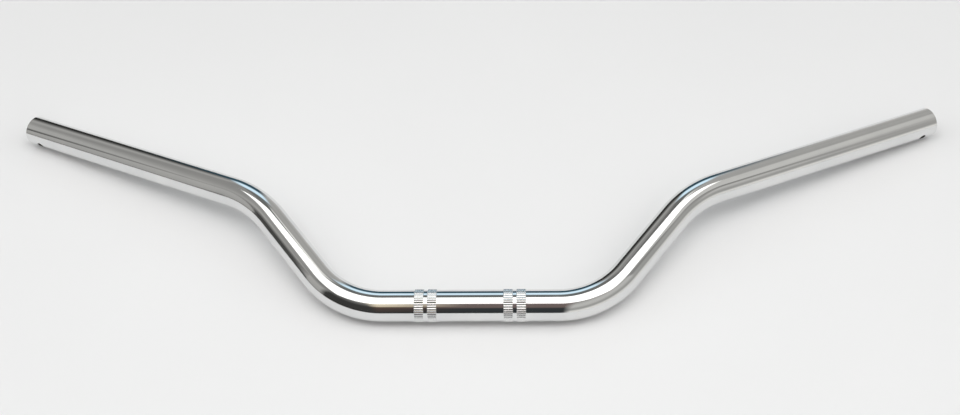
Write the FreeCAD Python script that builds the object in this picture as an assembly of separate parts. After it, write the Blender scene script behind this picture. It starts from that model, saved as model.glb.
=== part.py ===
"""Motorcycle handlebar: one round steel tube with four bends, four knurled bands and two drilled holes.

The bar lies as it rests on a table: +X along the clamp section, +Y towards the tube ends, +Z up.
The origin is the middle of the clamp section, on the tube's own axis.  All lengths are in mm.
"""
import math
import os

import FreeCAD
import Part

# Tube
TUBE_OD = 22.2
WALL = 2.0

# Corners of the tube's axis before rounding, given for one side; the other side mirrors it
CLAMP_CORNER_X = 90.0
KNEE_X = 158.7
KNEE_Y = 83.5
KNEE_RISE = 17.0
TIP_X = 353.0
TIP_Y = 172.5

# Bend radii, measured on the tube's axis
LOWER_BEND_R = 62.0
KNEE_BEND_R = 85.0

# Knurled bands: two on each side of the middle, ridges along the tube, raised above its surface
BAND_START_X = 22.9
BAND_WIDTH = 6.5
BAND_GAP = 2.5
BAND_RIDGES = 48
RIDGE_TOP = 0.22
RIDGE_FOOT = 0.02

# Locating hole through the front wall near each end, facing forwards and down
HOLE_D = 5.0
HOLE_FROM_TIP = 12.0
HOLE_BELOW_LEVEL_DEG = 15.0

# Broken edges of the two tube ends
END_CHAMFER_OUT = 0.5
END_CHAMFER_IN = 0.3

OUTER_R = TUBE_OD / 2.0
INNER_R = OUTER_R - WALL


def tip_height():
    """Height of the tip's centre that lets its rim and the knurled bands rest on the same table."""
    run = math.hypot(TIP_X - KNEE_X, TIP_Y - KNEE_Y)
    slope = math.atan2(KNEE_RISE, run)
    return OUTER_R * math.cos(slope) - OUTER_R - RIDGE_TOP


def corners(side):
    """Corner points of the axis from the middle of the bar to one tip."""
    return [
        FreeCAD.Vector(0.0, 0.0, 0.0),
        FreeCAD.Vector(side * CLAMP_CORNER_X, 0.0, 0.0),
        FreeCAD.Vector(side * KNEE_X, KNEE_Y, KNEE_RISE),
        FreeCAD.Vector(side * TIP_X, TIP_Y, tip_height()),
    ]


def unit(vector):
    """The same direction with length one."""
    return vector * (1.0 / vector.Length)


def bend(before, corner, after, radius):
    """Start, end, centre, axis and angle of the arc that rounds one corner."""
    along = unit(corner - before)
    onward = unit(after - corner)
    turn = along.getAngle(onward)
    tangent = radius * math.tan(turn / 2.0)
    start = corner - along * tangent
    end = corner + onward * tangent
    axis = unit(along.cross(onward))
    centre = start + axis.cross(along) * radius
    return start, end, centre, axis, turn


def run(start, end, radius):
    """A straight round bar between two points."""
    return Part.makeCylinder(radius, (end - start).Length, start, unit(end - start))


def elbow(start, along, centre, axis, turn, radius):
    """A round bar bent about an axis, beginning at start and heading along."""
    section = Part.Face(Part.Wire(Part.makeCircle(radius, start, along)))
    return section.revolve(centre, axis, math.degrees(turn))


def half_bar(side, first, radius):
    """Round bar of one side as a list of solids, from the point first to the tip."""
    middle, lower, knee, tip = corners(side)
    low_start, low_end, low_centre, low_axis, low_turn = bend(middle, lower, knee, LOWER_BEND_R)
    knee_start, knee_end, knee_centre, knee_axis, knee_turn = bend(lower, knee, tip, KNEE_BEND_R)
    return [
        run(first, low_start, radius),
        elbow(low_start, unit(lower - middle), low_centre, low_axis, low_turn, radius),
        run(low_end, knee_start, radius),
        elbow(knee_start, unit(knee - lower), knee_centre, knee_axis, knee_turn, radius),
        run(knee_end, tip, radius),
    ]


def knurl_band(start_x):
    """Ring of straight ridges along X, one band wide, solid to the tube's axis."""
    crest = OUTER_R + RIDGE_TOP
    root = OUTER_R + RIDGE_FOOT
    step = math.pi / BAND_RIDGES
    points = []
    for i in range(2 * BAND_RIDGES):
        reach = crest if i % 2 == 0 else root
        points.append(FreeCAD.Vector(start_x, reach * math.cos(i * step), reach * math.sin(i * step)))
    outline = Part.makePolygon(points + points[:1])
    return Part.Face(outline).extrude(FreeCAD.Vector(BAND_WIDTH, 0.0, 0.0))


def clamp_section():
    """Middle of the bar between the outermost band edges: plain runs and knurled bands in turn."""
    near = BAND_START_X
    far = BAND_START_X + BAND_WIDTH + BAND_GAP
    starts = [-far - BAND_WIDTH, -near - BAND_WIDTH, near, far]
    pieces = [knurl_band(x) for x in starts]
    for i in range(len(starts) - 1):
        left = FreeCAD.Vector(starts[i] + BAND_WIDTH, 0.0, 0.0)
        right = FreeCAD.Vector(starts[i + 1], 0.0, 0.0)
        pieces.append(run(left, right, OUTER_R))
    return pieces


def end_frame(side):
    """Tip centre, direction out of the tube and direction that the locating hole faces."""
    knee, tip = corners(side)[2:]
    outward = unit(tip - knee)
    level = unit(FreeCAD.Vector(outward.y, -outward.x, 0.0)) * side
    down = unit(outward.cross(level)) * side
    tilt = math.radians(HOLE_BELOW_LEVEL_DEG)
    facing = level * math.cos(tilt) + down * math.sin(tilt)
    return tip, outward, facing


def chamfer_cutters(side):
    """Rings that break the outer and inner edge of one tube end."""
    tip, outward, _ = end_frame(side)
    back = tip - outward * END_CHAMFER_OUT
    block = Part.makeCylinder(TUBE_OD, END_CHAMFER_OUT, back, outward)
    keep = Part.makeCone(OUTER_R, OUTER_R - END_CHAMFER_OUT, END_CHAMFER_OUT, back, outward)
    mouth = tip - outward * END_CHAMFER_IN
    flare = Part.makeCone(INNER_R, INNER_R + END_CHAMFER_IN, END_CHAMFER_IN, mouth, outward)
    return [block.cut(keep), flare]


def locating_hole(side):
    """Drill through one wall, from the tube's axis outwards."""
    tip, outward, facing = end_frame(side)
    centre = tip - outward * HOLE_FROM_TIP
    return Part.makeCylinder(HOLE_D / 2.0, TUBE_OD, centre, facing)


def handlebar():
    """The whole bar: outer form, less its bore, its broken end edges and its two holes."""
    plain_x = BAND_START_X + 2.0 * BAND_WIDTH + BAND_GAP
    outer = clamp_section()
    bore = []
    cutters = []
    for side in (-1.0, 1.0):
        outer += half_bar(side, FreeCAD.Vector(side * plain_x, 0.0, 0.0), OUTER_R)
        bore += half_bar(side, FreeCAD.Vector(0.0, 0.0, 0.0), INNER_R)
        cutters += chamfer_cutters(side)
        cutters.append(locating_hole(side))
    body = outer[0].multiFuse(outer[1:])
    hollow = bore[0].multiFuse(bore[1:]).removeSplitter()
    return body.cut([hollow] + cutters).removeSplitter()


os.makedirs("parts", exist_ok=True)
bar = handlebar().Solids[0]
bar.exportStep("parts/handlebar.step")
print("solid valid:", bar.isValid(), "volume cm3:", round(bar.Volume / 1000.0, 2))
box = bar.optimalBoundingBox()
print("box mm:", [round(v, 2) for v in (box.XLength, box.YLength, box.ZLength)])
print("lowest point mm:", round(box.ZMin, 3))
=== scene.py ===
# %% [markdown]
# # A chromed handlebar
#
# This lesson dresses a motorcycle handlebar that was built as a solid in CAD.  The bar is one steel
# tube: bent four times, knurled where it is clamped, drilled near each end and plated with bright
# chrome.  The CAD model is loaded first and never moved.  The finer tube made here stands in its place,
# so every size below is the size of the solid, in metres, with +Z up from the table.

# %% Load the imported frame
import math

import bmesh
import bpy
from mathutils import Matrix, Vector


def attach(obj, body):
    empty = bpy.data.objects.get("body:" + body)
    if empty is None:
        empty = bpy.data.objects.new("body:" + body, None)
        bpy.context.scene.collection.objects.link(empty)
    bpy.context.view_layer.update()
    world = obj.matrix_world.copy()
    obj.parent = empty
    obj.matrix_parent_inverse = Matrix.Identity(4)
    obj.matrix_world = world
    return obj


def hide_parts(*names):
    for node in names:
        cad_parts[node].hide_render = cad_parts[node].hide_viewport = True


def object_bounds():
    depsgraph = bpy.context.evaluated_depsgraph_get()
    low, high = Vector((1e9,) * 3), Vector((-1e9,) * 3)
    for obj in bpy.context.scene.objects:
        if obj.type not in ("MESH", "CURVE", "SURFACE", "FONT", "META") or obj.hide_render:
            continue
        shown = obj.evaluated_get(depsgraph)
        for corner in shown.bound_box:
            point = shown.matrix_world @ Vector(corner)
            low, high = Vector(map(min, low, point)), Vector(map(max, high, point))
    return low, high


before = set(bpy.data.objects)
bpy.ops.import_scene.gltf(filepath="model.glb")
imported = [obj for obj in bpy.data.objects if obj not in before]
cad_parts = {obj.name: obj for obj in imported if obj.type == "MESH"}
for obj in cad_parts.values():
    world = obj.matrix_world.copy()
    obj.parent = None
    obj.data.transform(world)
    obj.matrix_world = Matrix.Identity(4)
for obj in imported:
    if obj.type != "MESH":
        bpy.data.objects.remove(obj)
cad_low, cad_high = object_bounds()
print("CAD box, mm:", [round((h - l) * 1000, 1) for l, h in zip(cad_low, cad_high)])

# %% [markdown]
# ## The tube's axis
#
# A bent tube is drawn by its axis: straight runs that meet at corners, with each corner rounded to the
# bending die's radius.  A free-hand curve would give bends of uneven radius, which polished metal shows
# at once.  So the corners are written down with their radii, and the arcs are worked out from them.
# The tip's height lets its rim and the knurled bands rest on the same table.

# %% Corners of the axis
MM = 0.001
TUBE_RADIUS = 11.1 * MM
RIDGE_TOP = 0.22 * MM
CLAMP_CORNER = Vector((90.0, 0.0, 0.0)) * MM
KNEE = Vector((158.7, 83.5, 17.0)) * MM
TIP_X, TIP_Y = 353.0 * MM, 172.5 * MM

slope = math.atan2(KNEE.z, math.hypot(TIP_X - KNEE.x, TIP_Y - KNEE.y))
tip_height = TUBE_RADIUS * math.cos(slope) - TUBE_RADIUS - RIDGE_TOP
TIP = Vector((TIP_X, TIP_Y, tip_height))
GRIP_DIRECTION = (TIP - KNEE).normalized()
print("grip slopes down by", round(math.degrees(slope), 2), "degrees")

# %% Bends
MIDDLE_OF_BAR = Vector((0.0, 0.0, 0.0))
LOWER_BEND, LOWER_STEPS = 62.0 * MM, 52
KNEE_BEND, KNEE_STEPS = 85.0 * MM, 36


def arc_points(before, corner, after, radius, steps):
    """Points on the arc that rounds one corner of the axis."""
    along, onward = (corner - before).normalized(), (after - corner).normalized()
    turn = along.angle(onward)
    start = corner - along * radius * math.tan(turn / 2)
    inward = (onward - along * along.dot(onward)).normalized()
    centre = start + inward * radius
    angles = [turn * i / steps for i in range(steps + 1)]
    return [centre + radius * (along * math.sin(a) - inward * math.cos(a)) for a in angles]


lower_arc = arc_points(MIDDLE_OF_BAR, CLAMP_CORNER, KNEE, LOWER_BEND, LOWER_STEPS)
knee_arc = arc_points(CLAMP_CORNER, KNEE, TIP, KNEE_BEND, KNEE_STEPS)
print("points in the lower bend:", len(lower_arc), "and in the knee:", len(knee_arc))

# %% [markdown]
# Rings of the mesh are wanted only where something happens: at the edges of the knurled bands, in the
# bends, round the drilled hole and at the broken edge of the end.  Each point of the axis therefore
# carries three numbers: how wide the tube is there, how wide its bore is, and whether a band covers it.

# %% Points along one half of the axis
BAND_START, BAND_WIDTH, BAND_GAP = 22.9 * MM, 6.5 * MM, 2.5 * MM
BAND_STARTS = (BAND_START, BAND_START + BAND_WIDTH + BAND_GAP)
BAND_RUNOUT = 0.3 * MM
FIRST_X = 6.0 * MM
CLAMP_SPACING, UPRIGHT_SPACING, GRIP_SPACING = 4.0 * MM, 6.0 * MM, 9.0 * MM
HOLE_FROM_TIP, HOLE_MARGIN, HOLE_SPACING = 12.0 * MM, 5.0 * MM, 0.8 * MM
END_BREAK = 0.5 * MM
BORE_FLARE = 1.1


def straight_points(start, end, spacing):
    """Evenly spaced points between two others, without the two."""
    count = max(1, round((end - start).length / spacing))
    return [start.lerp(end, i / count) for i in range(1, count)]


def half_axis():
    """(point, tube width, bore width, band) from beside the middle to the right tip."""
    rows = [(Vector((FIRST_X, 0, 0)), 1.0, 1.0, 0.0)]
    for start in BAND_STARTS:
        end = start + BAND_WIDTH
        for x, band in ((start, 0), (start + BAND_RUNOUT, 1), (end - BAND_RUNOUT, 1), (end, 0)):
            rows.append((Vector((x, 0, 0)), 1.0, 1.0, float(band)))
    near_hole = TIP - GRIP_DIRECTION * (HOLE_FROM_TIP + HOLE_MARGIN)
    last_ring = TIP - GRIP_DIRECTION * END_BREAK
    plain = straight_points(rows[-1][0], lower_arc[0], CLAMP_SPACING) + lower_arc
    plain += straight_points(lower_arc[-1], knee_arc[0], UPRIGHT_SPACING) + knee_arc
    plain += straight_points(knee_arc[-1], near_hole, GRIP_SPACING) + [near_hole]
    plain += straight_points(near_hole, last_ring, HOLE_SPACING) + [last_ring]
    rows += [(point, 1.0, 1.0, 0.0) for point in plain]
    rows.append((TIP, 1.0 - END_BREAK / TUBE_RADIUS, BORE_FLARE, 0.0))
    return rows


MIRROR = Vector((-1.0, 1.0, 1.0))
right_half = half_axis()
left_half = [(point * MIRROR, *numbers) for point, *numbers in reversed(right_half)]
axis_rows = left_half + right_half
print("axis points:", len(axis_rows))

# %% An object that holds the axis
AXIS_NUMBERS = ("tube_width", "bore_width", "band")
axis_mesh = bpy.data.meshes.new("handlebar_axis")
axis_points = [row[0] for row in axis_rows]
axis_links = [(i, i + 1) for i in range(len(axis_rows) - 1)]
axis_mesh.from_pydata(axis_points, axis_links, [])
for column, name in enumerate(AXIS_NUMBERS, start=1):
    numbers = axis_mesh.attributes.new(name, "FLOAT", "POINT")
    numbers.data.foreach_set("value", [row[column] for row in axis_rows])
bar = bpy.data.objects.new("chromed_tube", axis_mesh)
bpy.context.scene.collection.objects.link(bar)
print("the axis of", bar.name, "carries", ", ".join(AXIS_NUMBERS))

# %% [markdown]
# ## Chrome and bare steel
#
# Bright chrome has almost no colour of its own: it is a mirror that gives back about three quarters of
# what falls on it.  What tells it from a perfect mirror is small: a slow ripple left by bending,
# polishing haze that comes and goes, and fine specks.  Noise at three scales on Object coordinates gives
# these, as roughness and as a very shallow bump.  A polishing wheel cannot reach into the knurl, so the
# bands are rougher: the number "band", which the axis carries to the mesh, says where.
#
# The plating does not reach into the bore.  The drawn steel there is dark, grainy and a little stained,
# and chrome on it would make the tube look solid, so the bore has a finish of its own.  Its colour is
# set darker still, as painted shade for the inside of the drilled holes.


# %% Helpers for node trees
def add(tree, kind, **settings):
    """A new node with some of its settings filled in."""
    made = tree.nodes.new(kind)
    for name, value in settings.items():
        setattr(made, name, value)
    return made


def join(tree, *pairs):
    """Link each (output socket, input socket) pair."""
    for out_socket, in_socket in pairs:
        tree.links.new(out_socket, in_socket)


def calculate(tree, operation, *values):
    """A Math node on sockets or numbers."""
    made = add(tree, "ShaderNodeMath", operation=operation)
    for socket, value in zip(made.inputs, values):
        if isinstance(value, (int, float)):
            socket.default_value = value
        else:
            join(tree, (value, socket))
    return made.outputs["Value"]


def span(tree, value, low, high, to_low, to_high):
    """Map value from one range to another."""
    made = add(tree, "ShaderNodeMapRange")
    limits = (("From Min", low), ("From Max", high), ("To Min", to_low), ("To Max", to_high))
    for name, number in limits:
        made.inputs[name].default_value = number
    join(tree, (value, made.inputs["Value"]))
    return made.outputs["Result"]


def ramp(tree, factor, stops):
    """A colour ramp with the given (position, colour) stops."""
    made = add(tree, "ShaderNodeValToRGB")
    marks = made.color_ramp.elements
    while len(marks) < len(stops):
        marks.new(0.5)
    for mark, (position, colour) in zip(marks, stops):
        mark.position = position
        mark.color = (*colour, 1)
    join(tree, (factor, made.inputs["Fac"]))
    return made.outputs["Color"]


# %% Helpers for finishes
def new_finish(name):
    """A material with its tree, its shader and the Object coordinates of its patterns."""
    made = bpy.data.materials.new(name)
    made.use_nodes = True
    tree = made.node_tree
    spot = add(tree, "ShaderNodeTexCoord").outputs["Object"]
    return made, tree, tree.nodes["Principled BSDF"], spot


def noise(tree, spot, scale, detail):
    """A noise texture at the given coordinates."""
    made = add(tree, "ShaderNodeTexNoise")
    made.inputs["Scale"].default_value = scale
    made.inputs["Detail"].default_value = detail
    join(tree, (spot, made.inputs["Vector"]))
    return made.outputs["Fac"]


def bump(tree, height, strength, depth):
    """A bump node that takes its height from a socket."""
    made = add(tree, "ShaderNodeBump")
    made.inputs["Strength"].default_value = strength
    made.inputs["Distance"].default_value = depth
    join(tree, (height, made.inputs["Height"]))
    return made


# %% Bright chrome plate
PLATE_TINTS = [(0.30, (0.735, 0.742, 0.745)), (0.70, (0.790, 0.792, 0.788))]
HAZE_SCALE, HAZE_DETAIL = 38.0, 4.0
HAZE_RANGE, HAZE_ROUGHNESS = (0.35, 0.75), (0.035, 0.075)
SPECK_SCALE, SPECK_DETAIL = 900.0, 2.0
SPECK_RANGE, SPECK_ROUGHNESS = (0.62, 0.80), (0.0, 0.10)
SPECK_STRENGTH, SPECK_DEPTH = 0.04, 0.04 * MM
RIPPLE_SCALE, RIPPLE_DETAIL = 26.0, 1.0
RIPPLE_STRENGTH, RIPPLE_DEPTH = 0.10, 0.25 * MM
BAND_ROUGHNESS = 0.17


def chrome_plate():
    """Polished chrome with a slow ripple, polishing haze and fine specks, duller in the bands."""
    made, tree, shader, spot = new_finish("bright_chrome_plate")
    shader.inputs["Metallic"].default_value = 1.0
    haze = noise(tree, spot, HAZE_SCALE, HAZE_DETAIL)
    speck = noise(tree, spot, SPECK_SCALE, SPECK_DETAIL)
    ripple = noise(tree, spot, RIPPLE_SCALE, RIPPLE_DETAIL)
    hazy = span(tree, haze, *HAZE_RANGE, *HAZE_ROUGHNESS)
    specked = span(tree, speck, *SPECK_RANGE, *SPECK_ROUGHNESS)
    polished = calculate(tree, "ADD", hazy, specked)
    in_band = add(tree, "ShaderNodeAttribute", attribute_name="band").outputs["Fac"]
    knurled = span(tree, in_band, 0.0, 1.0, 0.0, BAND_ROUGHNESS)
    waves = bump(tree, ripple, RIPPLE_STRENGTH, RIPPLE_DEPTH)
    pits = bump(tree, speck, SPECK_STRENGTH, SPECK_DEPTH)
    join(
        tree,
        (ramp(tree, haze, PLATE_TINTS), shader.inputs["Base Color"]),
        (calculate(tree, "ADD", knurled, polished), shader.inputs["Roughness"]),
        (waves.outputs["Normal"], pits.inputs["Normal"]),
        (pits.outputs["Normal"], shader.inputs["Normal"]),
    )
    return made


CHROME = chrome_plate()
print("material:", CHROME.name, len(CHROME.node_tree.nodes), "nodes")

# %% Bare steel of the bore, darkened as painted shade
# dark steel tints, set darker than bare steel as painted shade for the inside of the drilled holes
STEEL_AND_SHADE_TINTS = [(0.35, (0.045, 0.038, 0.032)), (0.65, (0.21, 0.20, 0.19))]
STAIN_SCALE, STAIN_DETAIL = 120.0, 5.0
STAIN_RANGE, STAIN_ROUGHNESS = (0.3, 0.7), (0.62, 0.38)
GRAIN_SCALE, GRAIN_DETAIL = 1400.0, 2.0
GRAIN_STRENGTH, GRAIN_DEPTH = 0.25, 0.2 * MM


def bore_steel_and_shade():
    """Drawn steel inside the tube: dull, grainy and a little stained, and darkened as painted shade."""
    made, tree, shader, spot = new_finish("bare_bore_steel_and_shade")
    shader.inputs["Metallic"].default_value = 1.0
    stain = noise(tree, spot, STAIN_SCALE, STAIN_DETAIL)
    grain = noise(tree, spot, GRAIN_SCALE, GRAIN_DETAIL)
    pits = bump(tree, grain, GRAIN_STRENGTH, GRAIN_DEPTH)
    join(
        tree,
        (ramp(tree, stain, STEEL_AND_SHADE_TINTS), shader.inputs["Base Color"]),
        (span(tree, stain, *STAIN_RANGE, *STAIN_ROUGHNESS), shader.inputs["Roughness"]),
        (pits.outputs["Normal"], shader.inputs["Normal"]),
    )
    return made


BORE_STEEL_AND_SHADE = bore_steel_and_shade()
print("material:", BORE_STEEL_AND_SHADE.name, len(BORE_STEEL_AND_SHADE.node_tree.nodes), "nodes")

# %% [markdown]
# ## The tube itself
#
# The real bar is rolled as a tube, then knurled, bent and drilled.  The node tree comes close to that.
# A circle is swept along the bent axis, every fourth point of the circle becomes the crest of a ridge
# inside the bands, a second sweep takes out the bore, and two drills go through the wall.  A mesh drawn
# by hand could not be changed afterwards, while here each size is an input of the tree.

# %% Inputs of the tube's node tree
WALL = 2.0 * MM
RIDGES, POINTS_PER_RIDGE = 48, 4
GROOVE_DEPTH = 0.09 * MM
BORE_SIDES = 72
HOLE_RADIUS = 2.5 * MM
TUBE_SIZES = (
    ("Tube Radius", "NodeSocketFloat", TUBE_RADIUS),
    ("Bore Radius", "NodeSocketFloat", TUBE_RADIUS - WALL),
    ("Sides", "NodeSocketInt", RIDGES * POINTS_PER_RIDGE),
    ("Bore Sides", "NodeSocketInt", BORE_SIDES),
    ("Ridge Top", "NodeSocketFloat", RIDGE_TOP),
    ("Groove Depth", "NodeSocketFloat", GROOVE_DEPTH),
    ("Hole Radius", "NodeSocketFloat", HOLE_RADIUS),
)

tube_tree = bpy.data.node_groups.new("bent_knurled_tube", "GeometryNodeTree")
sockets = tube_tree.interface
for direction in ("INPUT", "OUTPUT"):
    sockets.new_socket(name="Geometry", in_out=direction, socket_type="NodeSocketGeometry")
tube_inputs = {}
for name, kind, value in TUBE_SIZES:
    made = sockets.new_socket(name=name, in_out="INPUT", socket_type=kind)
    tube_inputs[made.identifier] = value
sizes_in = add(tube_tree, "NodeGroupInput")
result_out = add(tube_tree, "NodeGroupOutput")
print("tree inputs:", [name for name, _, _ in TUBE_SIZES])


# %% Sweep the tube
def named(name):
    """Read a number that the axis carries."""
    made = add(tube_tree, "GeometryNodeInputNamedAttribute", data_type="FLOAT")
    made.inputs["Name"].default_value = name
    return made.outputs["Attribute"]


def sweep(curve, sides, radius, width_name):
    """A closed tube along a curve, as wide as the named number says."""
    circle = add(tube_tree, "GeometryNodeCurvePrimitiveCircle")
    made = add(tube_tree, "GeometryNodeCurveToMesh")
    made.inputs["Fill Caps"].default_value = True
    join(
        tube_tree,
        (sizes_in.outputs[sides], circle.inputs["Resolution"]),
        (sizes_in.outputs[radius], circle.inputs["Radius"]),
        (curve, made.inputs["Curve"]),
        (circle.outputs["Curve"], made.inputs["Profile Curve"]),
        (named(width_name), made.inputs["Scale"]),
    )
    return made.outputs["Mesh"]


line = add(tube_tree, "GeometryNodeMeshToCurve")
upright = add(tube_tree, "GeometryNodeSetCurveNormal", mode="Z_UP")
join(
    tube_tree,
    (sizes_in.outputs["Geometry"], line.inputs["Mesh"]),
    (line.outputs["Curve"], upright.inputs["Curve"]),
)
axis_curve = upright.outputs["Curve"]
tube = sweep(axis_curve, "Sides", "Tube Radius", "tube_width")
print("nodes that sweep the tube:", len(tube_tree.nodes))

# %% [markdown]
# The bore is swept along the same axis.  A tool that ends flush with the tube can leave a thin skin over
# the mouth, so the two ends of its axis are first drawn out a little.

# %% Sweep the bore
MOUTH_STRETCH = 1.0 * MM
HALFWAY = 0.5
ends = add(tube_tree, "GeometryNodeCurveEndpointSelection")
heading = add(tube_tree, "GeometryNodeInputTangent")
travelled = add(tube_tree, "GeometryNodeSplineParameter").outputs["Factor"]
outward_sign = calculate(tube_tree, "SIGN", calculate(tube_tree, "SUBTRACT", travelled, HALFWAY))
stretch = add(tube_tree, "ShaderNodeVectorMath", operation="SCALE")
longer = add(tube_tree, "GeometryNodeSetPosition")
join(
    tube_tree,
    (heading.outputs["Tangent"], stretch.inputs[0]),
    (calculate(tube_tree, "MULTIPLY", outward_sign, MOUTH_STRETCH), stretch.inputs["Scale"]),
    (axis_curve, longer.inputs["Geometry"]),
    (ends.outputs["Selection"], longer.inputs["Selection"]),
    (stretch.outputs["Vector"], longer.inputs["Offset"]),
)
bore = sweep(longer.outputs["Geometry"], "Bore Sides", "Bore Radius", "bore_width")
print("nodes with the bore:", len(tube_tree.nodes))

# %% [markdown]
# ## Knurled bands
#
# A straight knurl is rolled into the tube: a hard wheel presses grooves along it, and the metal between
# them rises a little above the surface.  Counting round the ring in fours gives crest, flank, groove,
# flank.  The points move out or in along the radius, which in the straight clamp section is simply the
# direction away from the X axis.

# %% Ridges and grooves
HALF_RIDGE = POINTS_PER_RIDGE / 2
AWAY_FROM_X = (0.0, 1.0, 1.0)
index = add(tube_tree, "GeometryNodeInputIndex").outputs["Index"]
step = calculate(tube_tree, "MODULO", index, POINTS_PER_RIDGE)
from_groove = calculate(tube_tree, "ABSOLUTE", calculate(tube_tree, "SUBTRACT", step, HALF_RIDGE))
crest = calculate(tube_tree, "DIVIDE", from_groove, HALF_RIDGE)
groove = sizes_in.outputs["Groove Depth"]
full_height = calculate(tube_tree, "ADD", sizes_in.outputs["Ridge Top"], groove)
rise = calculate(tube_tree, "MULTIPLY", crest, full_height)
level = calculate(tube_tree, "SUBTRACT", rise, groove)
lift = calculate(tube_tree, "MULTIPLY", level, named("band"))
position = add(tube_tree, "GeometryNodeInputPosition")
radial = add(tube_tree, "ShaderNodeVectorMath", operation="MULTIPLY")
radial.inputs[1].default_value = AWAY_FROM_X
outward = add(tube_tree, "ShaderNodeVectorMath", operation="NORMALIZE")
offset = add(tube_tree, "ShaderNodeVectorMath", operation="SCALE")
knurl = add(tube_tree, "GeometryNodeSetPosition")
join(
    tube_tree,
    (position.outputs["Position"], radial.inputs[0]),
    (radial.outputs["Vector"], outward.inputs[0]),
    (outward.outputs["Vector"], offset.inputs[0]),
    (lift, offset.inputs["Scale"]),
    (tube, knurl.inputs["Geometry"]),
    (offset.outputs["Vector"], knurl.inputs["Offset"]),
)
print("knurl:", 2 * len(BAND_STARTS), "bands with", RIDGES, "ridges each")

# %% [markdown]
# ## Drilled holes
#
# Near each end a small hole goes through the front wall only.  It holds the peg of a control or of an
# end weight.  A drill that starts on the axis and points forwards and down cuts one wall and leaves the
# other whole.  Every cutting tool carries a mark, which the Boolean passes on to the faces that it cuts.
# The last node reads the mark and gives those faces the dull steel of the bore, whose dark colour is
# partly painted shade for the inside of the holes.

# %% Two drills
HOLE_SIDES = 48
HOLE_BELOW_LEVEL = math.radians(15.0)
DRILL_DEPTH = 2.0 * TUBE_RADIUS


def drill(side):
    """A cylinder from the tube's axis out through the wall, near one end."""
    to_side = Vector((side, 1, 1))
    tip, out = TIP * to_side, GRIP_DIRECTION * to_side
    level = Vector((out.y, -out.x, 0.0)).normalized() * side
    down = out.cross(level).normalized() * side
    facing = level * math.cos(HOLE_BELOW_LEVEL) + down * math.sin(HOLE_BELOW_LEVEL)
    body = add(tube_tree, "GeometryNodeMeshCylinder")
    body.inputs["Vertices"].default_value = HOLE_SIDES
    body.inputs["Depth"].default_value = DRILL_DEPTH
    turn = add(tube_tree, "GeometryNodeTransform")
    turn.inputs["Translation"].default_value = tip - out * HOLE_FROM_TIP + facing * DRILL_DEPTH / 2
    turn.inputs["Rotation"].default_value = facing.to_track_quat("Z", "Y").to_euler()
    join(
        tube_tree,
        (sizes_in.outputs["Hole Radius"], body.inputs["Radius"]),
        (body.outputs["Mesh"], turn.inputs["Geometry"]),
    )
    return turn.outputs["Geometry"]


drills = [drill(side) for side in (-1.0, 1.0)]
print("drills:", len(drills))

# %% Cut the bore and the holes
CUT_MARK = "bare"


def marked(geometry):
    """Mark the faces of a cutting tool, so that what it cuts can be told from the plated outside."""
    made = add(tube_tree, "GeometryNodeStoreNamedAttribute", data_type="BOOLEAN", domain="FACE")
    made.inputs["Name"].default_value = CUT_MARK
    made.inputs["Value"].default_value = True
    join(tube_tree, (geometry, made.inputs["Geometry"]))
    return made.outputs["Geometry"]


def plated(geometry):
    """Chrome on everything that goes into the cut."""
    made = add(tube_tree, "GeometryNodeSetMaterial")
    made.inputs["Material"].default_value = CHROME
    join(tube_tree, (geometry, made.inputs["Geometry"]))
    return made.outputs["Geometry"]


cut = add(tube_tree, "GeometryNodeMeshBoolean", operation="DIFFERENCE", solver="MANIFOLD")
join(tube_tree, (plated(knurl.outputs["Geometry"]), cut.inputs["Mesh 1"]))
for tool in [bore] + drills:
    join(tube_tree, (plated(marked(tool)), cut.inputs["Mesh 2"]))
smooth = add(tube_tree, "GeometryNodeSetShadeSmooth")
real = add(tube_tree, "GeometryNodeRealizeInstances")
cut_faces = add(tube_tree, "GeometryNodeInputNamedAttribute", data_type="BOOLEAN")
cut_faces.inputs["Name"].default_value = CUT_MARK
# the bore and the hole walls get the dark steel, whose darkness is partly painted shade
steel = add(tube_tree, "GeometryNodeSetMaterial")
steel.inputs["Material"].default_value = BORE_STEEL_AND_SHADE
join(
    tube_tree,
    (cut.outputs["Mesh"], smooth.inputs["Geometry"]),
    (smooth.outputs["Geometry"], real.inputs["Geometry"]),
    (real.outputs["Geometry"], steel.inputs["Geometry"]),
    (cut_faces.outputs["Attribute"], steel.inputs["Selection"]),
    (steel.outputs["Geometry"], result_out.inputs["Geometry"]),
)
print("nodes of the whole tree:", len(tube_tree.nodes))

# %% Run the tree and keep its mesh
sweeper = bar.modifiers.new("sweep", "NODES")
sweeper.node_group = tube_tree
for identifier, value in tube_inputs.items():
    sweeper[identifier] = value
ready = bar.evaluated_get(bpy.context.evaluated_depsgraph_get())
tube_mesh = bpy.data.meshes.new_from_object(ready)
bar.modifiers.remove(sweeper)
bar.data = tube_mesh
bpy.data.meshes.remove(axis_mesh)
tube_mesh.name = "chromed_tube"
shaded_steel_index = list(tube_mesh.materials).index(BORE_STEEL_AND_SHADE)
inside = sum(1 for face in tube_mesh.polygons if face.material_index == shaded_steel_index)
print("tube faces:", len(tube_mesh.polygons), "of which bare:", inside)

# %% [markdown]
# ## Crisp edges
#
# A mirror shows every averaged normal, so the shading is split where the metal really has an edge: at
# the broken rims, round the drilled holes, at the edges of the bands, and along each crest and groove
# of the knurl.  Smooth ridges would melt into one grey band; flat flanks give the light and dark lines
# that the real knurl shows.

# %% Mark the edges
EDGE_ANGLE = 0.45  # radians between two faces
SAME_PLACE = 0.001 * MM
band_edges = [start + shift for start in BAND_STARTS for shift in (0.0, BAND_WIDTH)]


def on_band_edge(point):
    """Whether a point lies on the ring where a band begins or ends."""
    return any(abs(abs(point.x) - edge) < SAME_PLACE for edge in band_edges)


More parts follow.
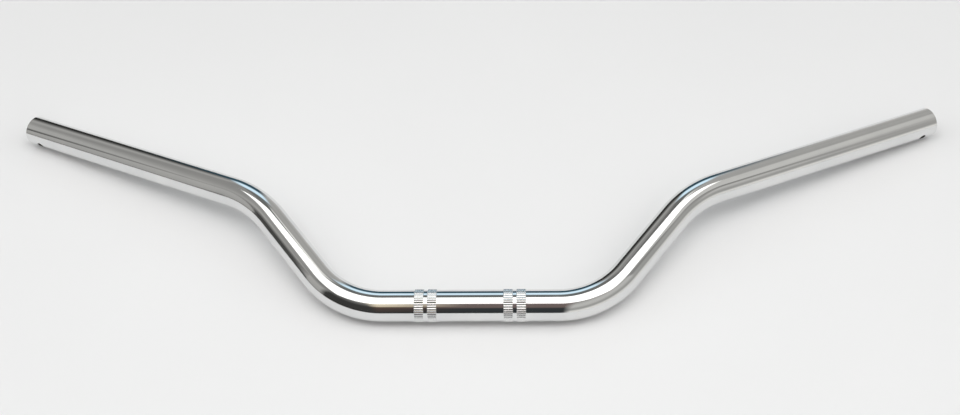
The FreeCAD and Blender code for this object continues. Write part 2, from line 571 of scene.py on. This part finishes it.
shaping = bmesh.new()
shaping.from_mesh(tube_mesh)
sharp_count = 0
for edge in shaping.edges:
    first, second = (vert.co for vert in edge.verts)
    ring = on_band_edge(first) and on_band_edge(second)
    edge.smooth = not (ring or edge.calc_face_angle(math.pi) > EDGE_ANGLE)
    sharp_count += not edge.smooth
open_edges = sum(1 for edge in shaping.edges if not edge.is_manifold)
triangles = sum(len(face.verts) - 2 for face in shaping.faces)
metal_volume = shaping.calc_volume(signed=True)
shaping.to_mesh(tube_mesh)
shaping.free()
print("sharp edges:", sharp_count, "open edges:", open_edges, "triangles:", triangles)
print("metal volume, cm3:", round(metal_volume * 1e6, 2))

# %% [markdown]
# ## In the solid's place
#
# The finer tube rides on the solid's body, so it moves as the solid would.  The solid itself is hidden,
# because two skins at one place would flicker, and it stays in the model for collision.

# %% The tube takes the place of the solid
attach(bar, "root")
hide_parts("handlebar")
print(bar.name, "stands for the solid")

# %% [markdown]
# ## Table and light
#
# A chromed tube is seen by what it mirrors.  Here that is a pale table, one large soft lamp overhead
# and a dim room.  The lamp gives the white streak along every run, the table gives the pale band near
# its foot, and the darker parts of the room give the lines between them.

# %% A pale table top
TABLE_HEIGHT = cad_low[2]
TABLE_RADIUS, TABLE_CORNERS = 12.0, 96
BOARD_TINTS = [(0.0, (0.785, 0.790, 0.800)), (1.0, (0.815, 0.820, 0.830))]
BOARD_SCALE, BOARD_DETAIL = 5.0, 3.0
BOARD_ROUGHNESS, BOARD_GLOSS = 0.8, 0.2


def table_paint():
    """Smooth pale matt board with faint, wide unevenness."""
    made, tree, shader, spot = new_finish("pale_table")
    shader.inputs["Roughness"].default_value = BOARD_ROUGHNESS
    shader.inputs["Specular IOR Level"].default_value = BOARD_GLOSS
    uneven = noise(tree, spot, BOARD_SCALE, BOARD_DETAIL)
    join(tree, (ramp(tree, uneven, BOARD_TINTS), shader.inputs["Base Color"]))
    return made


table_mesh = bpy.data.meshes.new("table_top")
table_shape = bmesh.new()
bmesh.ops.create_circle(table_shape, cap_ends=True, segments=TABLE_CORNERS, radius=TABLE_RADIUS)
bmesh.ops.translate(table_shape, verts=table_shape.verts, vec=(0, 0, TABLE_HEIGHT))
table_shape.to_mesh(table_mesh)
table_shape.free()
table_mesh.materials.append(table_paint())
table = bpy.data.objects.new("table_top", table_mesh)
bpy.context.scene.collection.objects.link(table)
print("table at z =", round(TABLE_HEIGHT * 1000, 2), "mm")

# %% [markdown]
# A lamp bright enough to light the table would be far too bright in the mirror of the chrome.  So the
# overhead lamp is made twice, a little apart: one lights the table and is left out of reflections, and
# the other, much dimmer, is what the chrome shows.  Fills at both sides and in front soften the shadows
# only, and the chrome does not show them either.


# %% How a soft lamp is made
def grey(*stops):
    """Stops of a ramp in greys, from (position, brightness) pairs."""
    return [(position, (value, value, value)) for position, value in stops]


def soft_lamp(name, place, turn, size, brightness, tint, edges):
    """A rectangular lamp; edges holds one ramp of brightness for each of its two directions."""
    data = bpy.data.lights.new(name, "AREA")
    data.shape = "RECTANGLE"
    data.size, data.size_y = size
    data.energy = brightness * math.pi * size[0] * size[1]
    data.color = tint
    data.use_nodes = True
    tree = data.node_tree
    spot = add(tree, "ShaderNodeNewGeometry")
    both = add(tree, "ShaderNodeSeparateXYZ")
    join(tree, (spot.outputs["Parametric"], both.inputs["Vector"]))
    fades = [ramp(tree, both.outputs[axis], stops) for axis, stops in zip("XY", edges)]
    glow = tree.nodes["Emission"].inputs["Strength"]
    join(tree, (calculate(tree, "MULTIPLY", *fades), glow))
    made = bpy.data.objects.new(name, data)
    made.location = place
    made.rotation_euler = turn
    bpy.context.scene.collection.objects.link(made)
    print(name, "brightness", brightness, "power", round(data.energy, 1), "W")
    return made


# %% The overhead lamp, made twice
FACING_DOWN = (0.0, 0.0, 0.0)
OVERHEAD_SIZE = (1.94, 1.33)
EVEN = grey((0.0, 1.0), (1.0, 1.0))

LIGHTING_PLACE, LIGHTING_BRIGHTNESS, LIGHTING_TINT = (0.02, 0.065, 1.52), 3.9, (1.0, 1.0, 0.995)
LIGHTING_EDGES = (
    grey((0.0, 0.1), (0.12, 1.0), (0.80, 1.0), (0.92, 0.4), (1.0, 0.1)),
    grey((0.0, 0.30), (0.08, 0.35), (0.13, 1.0), (0.42, 1.0), (0.52, 0.30), (1.0, 0.30)),
)
lighting = soft_lamp(
    "overhead_softbox", LIGHTING_PLACE, FACING_DOWN, OVERHEAD_SIZE,
    LIGHTING_BRIGHTNESS, LIGHTING_TINT, LIGHTING_EDGES,
)
lighting.visible_glossy = False

MIRRORED_PLACE, MIRRORED_BRIGHTNESS, MIRRORED_TINT = (0.02, 0.065, 1.5), 1.45, (1.0, 0.995, 0.98)
MIRRORED_EDGES = (grey((0.0, 0.32), (0.03, 1.0), (0.93, 1.0), (1.0, 0.32)), EVEN)
mirrored = soft_lamp(
    "overhead_face", MIRRORED_PLACE, FACING_DOWN, OVERHEAD_SIZE,
    MIRRORED_BRIGHTNESS, MIRRORED_TINT, MIRRORED_EDGES,
)
mirrored.visible_diffuse = False

# %% Fills at the sides and in front
WHITE = (1.0, 1.0, 1.0)
SLANT = 0.9  # radians from facing down
SIDE_SIZE, SIDE_BRIGHTNESS = (1.0, 1.2), 1.0
FRONT_SIZE, FRONT_BRIGHTNESS = (1.8, 0.9), 0.4
FILLS = (
    ("left_fill", (-1.3, 0.0, 1.0), (0.0, -SLANT, 0.0), SIDE_SIZE, SIDE_BRIGHTNESS),
    ("right_fill", (1.3, 0.0, 1.0), (0.0, SLANT, 0.0), SIDE_SIZE, SIDE_BRIGHTNESS),
    ("front_fill", (0.0, -1.2, 0.9), (SLANT, 0.0, 0.0), FRONT_SIZE, FRONT_BRIGHTNESS),
)
for fill_values in FILLS:
    fill = soft_lamp(*fill_values, WHITE, (EVEN, EVEN))
    fill.visible_glossy = False

# %% [markdown]
# The rest of the room is painted on the sky sphere by direction.  Each side wall has a back, a side and
# a front part, shaded by how high one looks, and the left one has a dark post.  The strip between the
# walls runs from the front horizon over the top to the back horizon: dark in front, a warm glow to its
# left, and a bluish window behind.  A plain grey sky would leave the tube without its dark lines.

# %% Shades of the two walls
WARM_GREY = (1.0, 0.988, 0.95)


def shade(degrees, *colour):
    """A direction in degrees with the colour seen there; one number stands for a warm grey."""
    return degrees, tuple(colour[0] * part for part in WARM_GREY) if len(colour) == 1 else colour


def wall_shades(*pairs):
    """Warm greys of a wall from the horizon up, from (degrees, brightness) pairs."""
    return [shade(degrees, brightness) for degrees, brightness in pairs]


LEFT_BACK = wall_shades(
    (0, 0.04), (16, 0.04), (24, 0.175), (33, 0.43), (37, 0.41), (43, 0.31), (60, 0.33),
)
LEFT_SIDE = wall_shades((0, 0.40), (30, 0.47), (41, 0.47), (46, 0.40), (52, 0.34), (60, 0.33))
LEFT_POST = wall_shades(
    (0, 0.09), (20, 0.065), (24, 0.10), (28, 0.18), (33, 0.25), (37, 0.36), (41, 0.40), (46, 0.29),
    (60, 0.33),
)
LEFT_FRONT = wall_shades((0, 0.24), (3, 0.30), (6, 0.42), (36, 0.48), (44, 0.35), (56, 0.20))
DARK_FRONT = wall_shades((0, 0.045), (40, 0.05), (50, 0.12), (60, 0.25))
RIGHT_BACK = wall_shades(
    (0, 0.62), (8, 0.56), (14, 0.46), (24, 0.42), (33, 0.45), (45, 0.42), (60, 0.45),
)
RIGHT_SIDE = wall_shades((0, 0.50), (30, 0.45), (40, 0.48), (45, 0.60), (50, 0.66), (62, 0.60))
RIGHT_FOOT = ((0, 0.92), (6, 0.84), (10, 0.62), (15, 0.42), (20, 0.38))
RIGHT_FRONT = wall_shades(
    *RIGHT_FOOT, (28, 0.42), (36, 0.40), (40, 0.36), (44, 0.28), (52, 0.31), (62, 0.40),
)
RIGHT_NEAR = wall_shades(*RIGHT_FOOT, (26, 0.46), (34, 0.58), (44, 0.60), (62, 0.40))
left_count = len(LEFT_BACK + LEFT_SIDE + LEFT_POST + LEFT_FRONT + DARK_FRONT)
right_count = len(RIGHT_BACK + RIGHT_SIDE + RIGHT_FRONT + RIGHT_NEAR)
print("shades on the left wall:", left_count, "and on the right:", right_count)

# %% Shades of the strip between them
WINDOW = (0.84, 1.07, 1.22)
DARK_AHEAD = [
    shade(0, 0.033, 0.037, 0.037), shade(34, 0.042, 0.046, 0.050),
    shade(42, 0.17, 0.13, 0.12), shade(64, 0.20, 0.155, 0.15),
]
ABOVE_WINDOW = shade(135, 0.165, 0.18, 0.18)
WINDOW_BEHIND = [
    shade(140, *WINDOW), shade(153, *WINDOW),
    shade(160, 0.045, 0.09, 0.12), shade(180, 0.05, 0.10, 0.13),
]
MIDDLE = DARK_AHEAD + [shade(118, 0.16, 0.165, 0.16), ABOVE_WINDOW] + WINDOW_BEHIND
WARM_CORNER = [
    shade(0, 0.04), shade(38, 0.10, 0.07, 0.06), shade(45, 0.15, 0.11, 0.08),
    shade(50, 0.80, 0.68, 0.50), shade(64, 0.85, 0.76, 0.60), shade(118, 0.17), shade(135, 0.18),
] + WINDOW_BEHIND
BRIGHT_EDGE = [shade(100, 1.20), shade(121, 1.15), shade(126, 0.45)]
WINDOW_EDGE = DARK_AHEAD + BRIGHT_EDGE + [ABOVE_WINDOW] + WINDOW_BEHIND
print("shades in the strip:", len(MIDDLE), len(WARM_CORNER), len(WINDOW_EDGE))

# %% Directions in the room
room = bpy.data.worlds.new("dim_room")
room.use_nodes = True
bpy.context.scene.world = room
sky = room.node_tree
look = add(sky, "ShaderNodeTexCoord")
axes = add(sky, "ShaderNodeSeparateXYZ")
join(sky, (look.outputs["Generated"], axes.inputs["Vector"]))
forward = calculate(sky, "MULTIPLY", axes.outputs["Y"], -1.0)
over_top = calculate(sky, "ARCTAN2", axes.outputs["Z"], forward)
height = calculate(sky, "ARCSINE", axes.outputs["Z"])
to_front = calculate(sky, "ARCTAN2", forward, calculate(sky, "ABSOLUTE", axes.outputs["X"]))
print("nodes that read the direction:", len(sky.nodes))

# %% [markdown]
# Each part of a wall takes over from the one before it between two angles, counted in degrees from
# straight sideways towards the front.  The strip's parts do so by how far one looks to the right, from
# -1 to 1.  Close angles give a crisp edge in the chrome, and wide ones a soft change.


# %% The dim room
def painted(angle, stops):
    """The colour at an angle, from a list of shades."""
    most = max(degrees for degrees, _ in stops)
    part = span(sky, angle, 0.0, math.radians(most), 0.0, 1.0)
    return ramp(sky, part, [(degrees / most, colour) for degrees, colour in stops])


def laid_over(under, factor, layers):
    """Colours over one another, each taking over between two values of the factor."""
    for colour, begins, ends_at in layers:
        blend = add(sky, "ShaderNodeMix", data_type="RGBA")
        join(
            sky,
            (span(sky, factor, begins, ends_at, 0.0, 1.0), blend.inputs["Factor"]),
            (under, blend.inputs["A"]),
            (colour, blend.inputs["B"]),
        )
        under = blend.outputs["Result"]
    return under


def wall(back, parts):
    """A side wall: its back, and over it the parts nearer to the front."""
    layers = [
        (painted(height, shades), math.radians(begins), math.radians(ends_at))
        for shades, begins, ends_at in parts
    ]
    return laid_over(painted(height, back), to_front, layers)


LEFT_PARTS = (
    (LEFT_SIDE, -35.0, -12.0),
    (LEFT_POST, 7.0, 9.5),
    (LEFT_FRONT, 13.8, 15.2),
    (DARK_FRONT, 29.0, 34.0),
)
RIGHT_PARTS = (
    (RIGHT_SIDE, -45.0, -35.0),
    (RIGHT_FRONT, 9.0, 12.0),
    (RIGHT_NEAR, 18.0, 20.5),
)
STRIP_PARTS = (
    (WARM_CORNER, -0.26, -0.17),
    (MIDDLE, -0.12, -0.05),
    (WINDOW_EDGE, 0.03, 0.06),
)
RIGHT_WALL_FROM, RIGHT_WALL_TO = 0.10, 0.20

left_wall = wall(LEFT_BACK, LEFT_PARTS)
right_wall = wall(RIGHT_BACK, RIGHT_PARTS)
strip = [(painted(over_top, shades), begins, ends_at) for shades, begins, ends_at in STRIP_PARTS]
strip.append((right_wall, RIGHT_WALL_FROM, RIGHT_WALL_TO))
whole_room = laid_over(left_wall, axes.outputs["X"], strip)
join(sky, (whole_room, sky.nodes["Background"].inputs["Color"]))
print("room nodes:", len(sky.nodes))

# %% [markdown]
# ## Camera
#
# The camera stands in front of the bar and looks down on it at about fifty degrees, a little turned and
# a little rolled, as a hand-held one is.  Its place comes from fitting the straight runs of the axis.

# %% Place the camera
CAMERA_PLACE = Vector((34.15, -433.87, 628.16)) * MM
PITCH, YAW, ROLL = 0.8766, -0.0556, -0.0495  # radians
LENS, SENSOR = 41.25, 36.0  # both in mm, as Blender's cameras have them

ahead = Vector((
    math.sin(YAW) * math.cos(PITCH), math.cos(YAW) * math.cos(PITCH), -math.sin(PITCH),
))
level_right = Vector((math.cos(YAW), -math.sin(YAW), 0.0))
level_up = level_right.cross(ahead)
right = level_right * math.cos(ROLL) + level_up * math.sin(ROLL)
up = level_up * math.cos(ROLL) - level_right * math.sin(ROLL)
camera_data = bpy.data.cameras.new("bench_camera")
camera_data.lens, camera_data.sensor_width = LENS, SENSOR
camera = bpy.data.objects.new("bench_camera", camera_data)
camera.matrix_world = Matrix((right, up, -ahead)).transposed().to_4x4()
camera.location = CAMERA_PLACE
bpy.context.scene.collection.objects.link(camera)
bpy.context.scene.camera = camera
bpy.context.scene.view_settings.view_transform = "Standard"
print("camera looks down by", round(math.degrees(PITCH), 1), "degrees")
